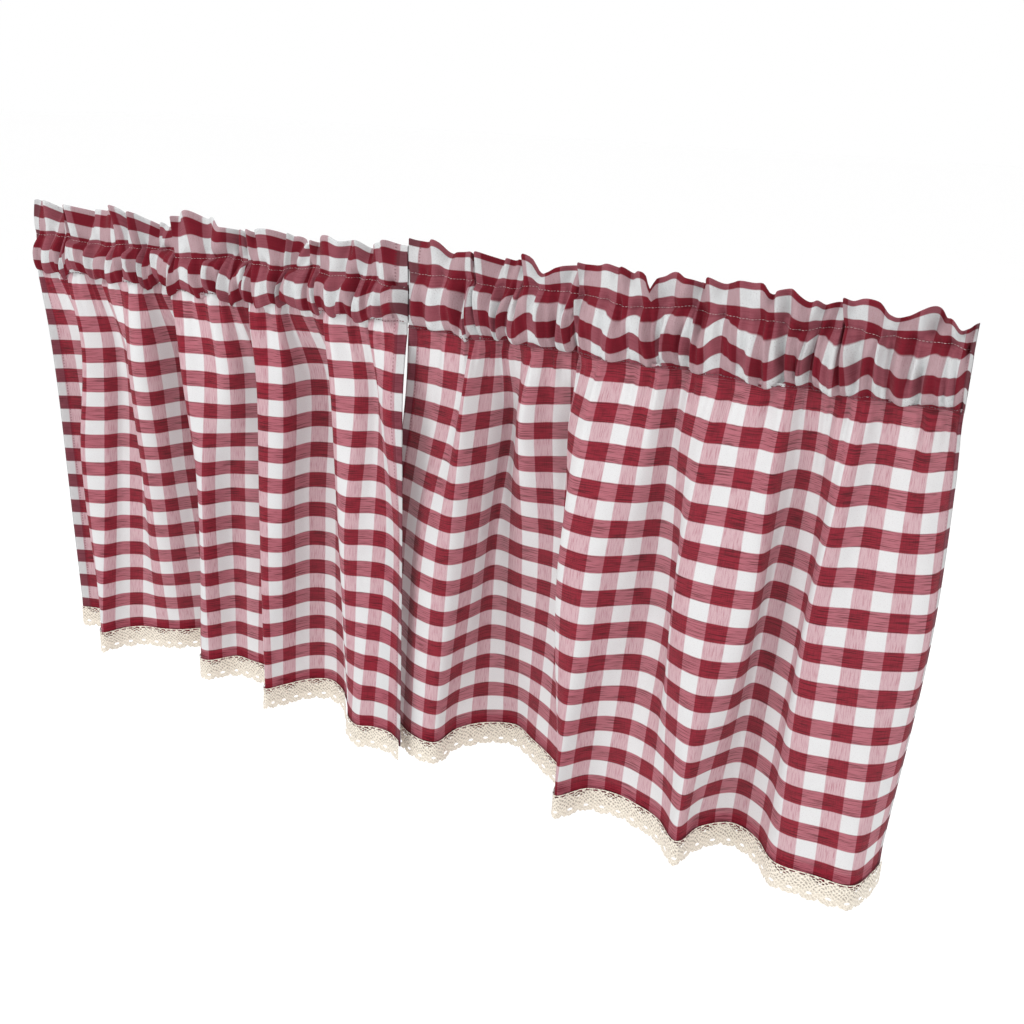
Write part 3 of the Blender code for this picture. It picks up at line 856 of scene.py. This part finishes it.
def gingham(name, tones, streak, edge, clear, bumps):
    finish = Finish(name)
    across, down = finish.chart()
    wander = finish.noise(across * WANDER_SCALE, down * WANDER_SCALE) - 0.5
    drift = finish.noise(across * WANDER_SCALE + 40.0, down * WANDER_SCALE) - 0.5
    warp = finish.between(finish.sine((across + wander * YARN_WANDER) * math.pi), -edge, edge)
    weft = finish.between(finish.sine((down + drift * YARN_WANDER) * math.pi), -edge, edge)
    level = finish.noise(across * LEVEL_STREAKS[0], down * LEVEL_STREAKS[1], 3.0)
    upright = finish.noise(across * UPRIGHT_STREAKS[0] + 9.0, down * UPRIGHT_STREAKS[1], 3.0)
    level_mask = finish.between(level, *LEVEL_THICK) * streak
    upright_mask = finish.between(upright, *UPRIGHT_THICK) * (0.8 * streak)
    speckle = finish.noise((across + down) * SPECKLE_SCALE, (down - across) * SPECKLE_SCALE, 1.0)
    patch = finish.noise(across * PATCH_SCALE, down * PATCH_SCALE)
    white = finish.mix(patch, tones["white"], tones["white_shade"])
    pink = finish.mix(upright_mask, tones["pink"], tones["pink_streak"])
    rose = finish.mix(level_mask, tones["rose"], tones["rose_streak"])
    crimson = finish.mix(level_mask + upright_mask * 0.5, tones["crimson"], tones["crimson_streak"])
    pale_row = finish.mix(warp, white, pink)
    red_row = finish.mix(warp, rose, crimson)
    colour = finish.mix(weft, pale_row, red_row)
    # Side hems: painted shade, strong in the red rows and slight in the pale ones, for the light that the
    # turned layers keep back. The dashed line at their inner edge is their stitching.
    edge_in = finish.size(across - HEM_MIDDLE) * -1 + HEM_REACH
    doubled = finish.between(edge_in, -0.03, 0.03, 1.0, 0.0)
    sewn = finish.between(finish.size(edge_in - 0.05), 0.03, 0.06, 1.0, 0.0)
    sewn = sewn * finish.between(finish.sine(down * (math.tau * 5)), -0.3, 0.3)
    colour = finish.mix(doubled * (weft * 0.62 + 0.10) + sewn * 0.5, colour, tones["hem"])
    colour = finish.mix(finish.between(speckle, 0.55, 0.75) * tones["speckle"], colour, tones["dark"])
    threads = finish.sine(across * (math.tau * THREADS)) * finish.sine(down * (math.tau * THREADS))
    height = threads * 0.5 + level_mask * weft * 0.8 + upright_mask * warp * 0.8 + patch * 1.5
    bump = finish.value("ShaderNodeBump", None, {"Strength": bumps, "Distance": 0.0004, "Height": height})
    rough = finish.between(level, 0.2, 0.8, 0.78, 0.95)
    cloth = finish.value("ShaderNodeBsdfPrincipled", None, {
        "Base Color": colour, "Roughness": rough, "Normal": bump,
        "Sheen Weight": 0.05, "Sheen Roughness": 0.5, "Specular IOR Level": 0.12})
    if not clear:
        return finish.finish(cloth)
    glow = finish.value("ShaderNodeBsdfTranslucent", None, {"Color": tones["glow"]})
    share = finish.between(warp + weft, 0.0, 2.0, clear, LEAST_CLEAR)
    return finish.finish(finish.value("ShaderNodeMixShader", None, {0: share, 1: cloth, 2: glow}))


# In both tone tables "hem" is painted shade of the side hems and also the tone of their stitch line;
# "dark" is the tone of the random speckle.
SKIRT_TONES = {
    "white": (0.70, 0.72, 0.722, 1), "white_shade": (0.64, 0.66, 0.665, 1),
    "pink": (0.54, 0.355, 0.385, 1), "pink_streak": (0.37, 0.135, 0.17, 1),
    "rose": (0.375, 0.090, 0.122, 1), "rose_streak": (0.135, 0.010, 0.020, 1),
    "crimson": (0.235, 0.010, 0.024, 1), "crimson_streak": (0.095, 0.004, 0.010, 1),
    "hem": (0.115, 0.025, 0.036, 1), "dark": (0.12, 0.02, 0.03, 1), "speckle": 0.22,
    "glow": (0.72, 0.60, 0.61, 1)}
# The heading is the same cloth as the skirt: these tones are its colours painted darker and greyer, as
# painted shade of the doubled heading, through which no light comes.
HEADING_SHADED_TONES = {
    "white": (0.64, 0.65, 0.65, 1), "white_shade": (0.56, 0.57, 0.58, 1),
    "pink": (0.41, 0.275, 0.295, 1), "pink_streak": (0.29, 0.13, 0.155, 1),
    "rose": (0.255, 0.068, 0.088, 1), "rose_streak": (0.160, 0.022, 0.036, 1),
    "crimson": (0.165, 0.008, 0.018, 1), "crimson_streak": (0.105, 0.005, 0.012, 1),
    "hem": (0.09, 0.03, 0.036, 1), "dark": (0.10, 0.03, 0.04, 1), "speckle": 0.40}
skirt_cloth = gingham("single_gingham", SKIRT_TONES, 1.0, 0.10, 0.18, 0.5)
heading_cloth = gingham("doubled_gingham_painted_shade", HEADING_SHADED_TONES, 0.35, 0.12, 0.0, 0.6)
print("gingham finishes:", skirt_cloth.name, heading_cloth.name)

# %% [markdown]
# The lace is unbleached cotton, cream in its close parts. The small gaps of its net are
# not cut: they are painted darker as their shade, on staggered places that wander a little.
# A few gaps in the shape of a diamond let the red cloth through, so there the finish turns
# clear. The sewing thread is pale on the pocket, and dark red at the lower seam as painted shade.

# %% Lace cotton and sewing thread
CREAM = (0.85, 0.79, 0.69, 1)
CREAM_SHADE = (0.62, 0.55, 0.46, 1)
# painted shade of the net's small holes, which are not cut
NET_HOLE_SHADE = (0.20, 0.165, 0.14, 1)
FAN_MM = CHART_UNIT / MM
NET = (3.6, 4.3)                 # small gaps of the net in a fan's width, across and down
DIAMOND_GRID = (6.4, 3.3)        # mm between the gaps of a diamond, across and down
DIAMOND_REACH = (9.5, 4.0)       # half its width and height, mm
DIAMOND_MIDDLE = -4.0            # mm below the hem


def diamonds(finish, across, down):
    """Small gaps set as a diamond over every second fan."""
    turn = finish.value("ShaderNodeMath", {"operation": "FRACT"}, {0: across * 0.5})
    side = (turn - 0.5) * (2 * FAN_MM)
    under = down * FAN_MM - DIAMOND_MIDDLE
    grid = finish.lattice(side * (1 / DIAMOND_GRID[0]), under * (1 / DIAMOND_GRID[1]))
    reach = finish.size(side) * (1 / DIAMOND_REACH[0]) + finish.size(under) * (1 / DIAMOND_REACH[1])
    return finish.between(grid, 1.0, 1.2) * finish.between(reach, 0.90, 1.0, 1.0, 0.0)


def lace_cotton():
    finish = Finish("ecru_lace_cotton")
    across, down = finish.chart()
    uneven = finish.noise(across * 12.0, down * 16.0, 3.0)
    sway = finish.sine(across * math.tau) * 0.06 + uneven * 0.08
    bent = finish.noise(across * 3.0 + 7.0, down * 3.0) - 0.5
    grid = finish.lattice((across + bent * 0.35) * NET[0], (down + sway + bent * 0.3) * NET[1])
    net = finish.between(grid + uneven * 0.6, 1.0, 2.1)
    close = finish.between(down, 0.35, 0.55, 1.0, 0.35)
    mask = finish.between(uneven, 0.30, 0.70)
    colour = finish.mix(mask, CREAM_SHADE, CREAM)
    # the net's small gaps are painted darker: painted shade of holes that are not cut
    colour = finish.mix(net * close * (mask * 0.4 + 0.45), colour, NET_HOLE_SHADE)
    bump = finish.value("ShaderNodeBump", None,
                        {"Strength": 0.8, "Distance": 0.0006, "Height": uneven - net * 0.8})
    cotton = finish.value("ShaderNodeBsdfPrincipled", None, {
        "Base Color": colour, "Roughness": finish.between(uneven, 0.2, 0.8, 0.80, 0.95), "Normal": bump,
        "Alpha": 1 - diamonds(finish, across, down), "Sheen Weight": 0.1, "Specular IOR Level": 0.15})
    return finish.finish(cotton)


def sewing_thread(name, low, high):
    finish = Finish(name)
    colour = finish.mix(finish.own_noise(160.0), low, high)
    thread = finish.value("ShaderNodeBsdfPrincipled", None,
                          {"Base Color": colour, "Roughness": 0.7, "Sheen Weight": 0.2})
    return finish.finish(thread)


cotton = lace_cotton()
pale_thread = sewing_thread("pale_thread", (0.42, 0.27, 0.28, 1), (0.66, 0.57, 0.56, 1))
# The lower seam's thread is dark red: painted shade of the seam, where the pocket meets the skirt.
seam_shadow_thread = sewing_thread("seam_shadow_thread", (0.10, 0.02, 0.03, 1), (0.16, 0.05, 0.06, 1))
for panel in (LEFT, RIGHT):
    skirts[panel.side][0].data.materials.append(skirt_cloth)
    headings[panel.side][0].data.materials.append(heading_cloth)
    laces[panel.side][0].data.materials.append(cotton)
print("finishes given to every sheet")

# %% [markdown]
# A sewing machine leaves short stitches that sink into the cloth at both ends. Each
# is a tiny bent thread here. They follow the pinched cloth at the two rows of
# stitches, and rows that run under a droop of the pocket stay hidden, as they should.

# %% Stitches
STITCH_STEP = 0.0034
STITCH_SHARE = 0.72      # how much of a step the thread shows
THREAD = 0.00024         # radius of the pale thread
SEAM_THREAD = 2.2 * THREAD
SIDES = 5
SINK = 0.3               # how deep the thread lies in the cloth, of its radius
UPPER_LIFT, LOWER_LIFT = 0.0004, 0.0006    # from the sheet to the thread
BENDS = ((-0.5, 0.0, 0.35), (-0.2, 1.0, 1.0), (0.2, 1.0, 1.0), (0.5, 0.0, 0.35))    # place, rise, size


def stitch_line(path, outward, radius):
    """Vertices and faces of a row of short threads that follow a path."""
    along = np.concatenate([[0], np.cumsum(np.linalg.norm(np.diff(path, axis=0), axis=1))])
    count = int(along[-1] / STITCH_STEP)
    vertices, faces = [], []
    angles = np.linspace(0, math.tau, SIDES + 1)[:-1]
    for number in range(count):
        centre = (number + 0.5) * STITCH_STEP
        ends = centre + STITCH_STEP * STITCH_SHARE * np.array([bend[0] for bend in BENDS])
        points = np.stack([np.interp(ends, along, path[:, k]) for k in range(3)], -1)
        normal = np.array([np.interp(centre, along, outward[:, k]) for k in range(3)])
        heading_way = points[-1] - points[0]
        heading_way = heading_way / max(np.linalg.norm(heading_way), 1e-9)
        across = np.cross(heading_way, normal)
        first = len(vertices)
        for point, (_, rise, size) in zip(points, BENDS):
            core = point + normal * radius * (rise - SINK)
            for angle in angles:
                ring = across * math.cos(angle) + normal * math.sin(angle)
                vertices.append(core + ring * radius * size)
        for ring_number in range(len(BENDS) - 1):
            for k in range(SIDES):
                a = first + ring_number * SIDES + k
                b = first + ring_number * SIDES + (k + 1) % SIDES
                faces.append((a, b, b + SIDES, a + SIDES))
        faces.append(tuple(first + k for k in reversed(range(SIDES))))
        faces.append(tuple(first + 3 * SIDES + k for k in range(SIDES)))
    return vertices, faces


def stitches(name, lines):
    vertices, faces, finishes = [], [], []
    for path, outward, size, which in lines:
        more, shapes = stitch_line(path, outward, size)
        faces += [tuple(i + len(vertices) for i in shape) for shape in shapes]
        vertices += more
        finishes += [which] * len(shapes)
    mesh = bpy.data.meshes.new(name)
    mesh.from_pydata([tuple(v) for v in vertices], [], faces)
    for tone in (pale_thread, seam_shadow_thread):
        mesh.materials.append(tone)
    mesh.polygons.foreach_set("material_index", finishes)
    mesh.shade_smooth()
    made = placed(name, mesh)
    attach(made, "root")
    print(name, "faces:", len(faces))
    return made


def grid_of(made):
    """Points of a heading's sheet, row by row."""
    points = np.array([v.co[:] for v in made.data.vertices])
    return points.reshape(-1, FRONT_COLUMNS, 3)


HEADING_ROWS = 2 * FRONT_ROWS + 2 * RUFFLE_ROWS + ROLL_ROWS
FRONT_WAY = np.array([0.0, -1.0, 0.0])
for panel in (LEFT, RIGHT):
    grid = grid_of(headings[panel.side][0])
    upper = grid[HEADING_ROWS - FRONT_ROWS - 1]
    upper_back = grid[FRONT_ROWS]
    forward = np.broadcast_to(FRONT_WAY, upper.shape)
    lower = grid[HEADING_ROWS - 2]
    lines = [(upper + UPPER_LIFT * FRONT_WAY, forward, THREAD, 0),
             (upper_back - UPPER_LIFT * FRONT_WAY, -forward, THREAD, 0),
             # the lower row of stitches takes the dark red thread, painted shade of the seam
             (lower + LOWER_LIFT * FRONT_WAY, forward, SEAM_THREAD, 1)]
    stitches("seam_stitches_" + panel.side, lines)

# %% [markdown]
# Each function that makes a sheet also returns how large it was cut. The cut width is the
# number of checks across, and the cut height the number of checks down, with what is turned back.

# %% [markdown]
# The photograph looks at the pair from its right and from a little above. Its camera
# was found from the straight lines of the rod and of the check rows. The pictures of
# such cut-out photographs have a white ground, so the floor is white and far below.

# %% Camera
FRAME_PIXELS = 1024
FOCAL_PIXELS = 1213.8
SENSOR = 36.0
YAW, PITCH, ROLL_ANGLE = (math.radians(a) for a in (29.1874, 19.28, 2.48))
EYE = Vector((0.7196, -1.0493, 0.2109))


def camera():
    data = bpy.data.cameras.new("view")
    data.sensor_width = SENSOR
    data.lens = FOCAL_PIXELS / FRAME_PIXELS * SENSOR
    data.clip_end = 50
    made = placed("view", data)
    ahead = Vector((-math.sin(YAW) * math.cos(PITCH), math.cos(YAW) * math.cos(PITCH), -math.sin(PITCH)))
    level = Vector((math.cos(YAW), math.sin(YAW), 0))
    up = level.cross(ahead)
    right = level * math.cos(ROLL_ANGLE) + up * math.sin(ROLL_ANGLE)
    top = up * math.cos(ROLL_ANGLE) - level * math.sin(ROLL_ANGLE)
    turn = Matrix((right, top, -ahead)).transposed().to_4x4()
    made.matrix_world = Matrix.Translation(EYE) @ turn
    bpy.context.scene.camera = made
    return made


print("lens:", round(camera().data.lens, 2), "mm")

# %% Light and floor
FLOOR_HEIGHT = -1.05
WORLD = (1.0, 1.0, 1.0, 1)


def lamp(name, place, target, size, power):
    data = bpy.data.lights.new(name, "AREA")
    data.shape = "DISK"
    data.size = size
    data.energy = power
    made = placed(name, data)
    made.location = place
    made.rotation_euler = (Vector(target) - Vector(place)).to_track_quat("-Z", "Y").to_euler()


lamp("key", (-0.9, -1.7, 1.5), (0, 0, -0.2), 0.9, 26)
lamp("fill", (1.8, -1.6, 0.6), (0, 0, -0.3), 1.6, 9)
lamp("behind", (0.0, 1.8, 1.2), (0, 0, -0.3), 1.6, 10)
world = bpy.data.worlds.new("studio")
world.use_nodes = True
world.node_tree.nodes["Background"].inputs["Color"].default_value = WORLD
world.node_tree.nodes["Background"].inputs["Strength"].default_value = 1.0
bpy.context.scene.world = world
bpy.context.scene.view_settings.view_transform = "Standard"


def floor():
    half = 30.0
    mesh = bpy.data.meshes.new("floor")
    corners = [(-half, -half), (half, -half), (half, half), (-half, half)]
    mesh.from_pydata([(x, y, FLOOR_HEIGHT) for x, y in corners], [], [(0, 1, 2, 3)])
    made = placed("floor", mesh)
    finish = Finish("white_floor")
    tone = finish.mix(finish.own_noise(3.0), (0.995, 0.995, 0.995, 1), (1.0, 1.0, 1.0, 1))
    paint = finish.value("ShaderNodeBsdfPrincipled", None, {"Base Color": tone, "Roughness": 0.9})
    mesh.materials.append(finish.finish(paint))
    return made


print("floor at", floor().data.vertices[0].co.z, "m")
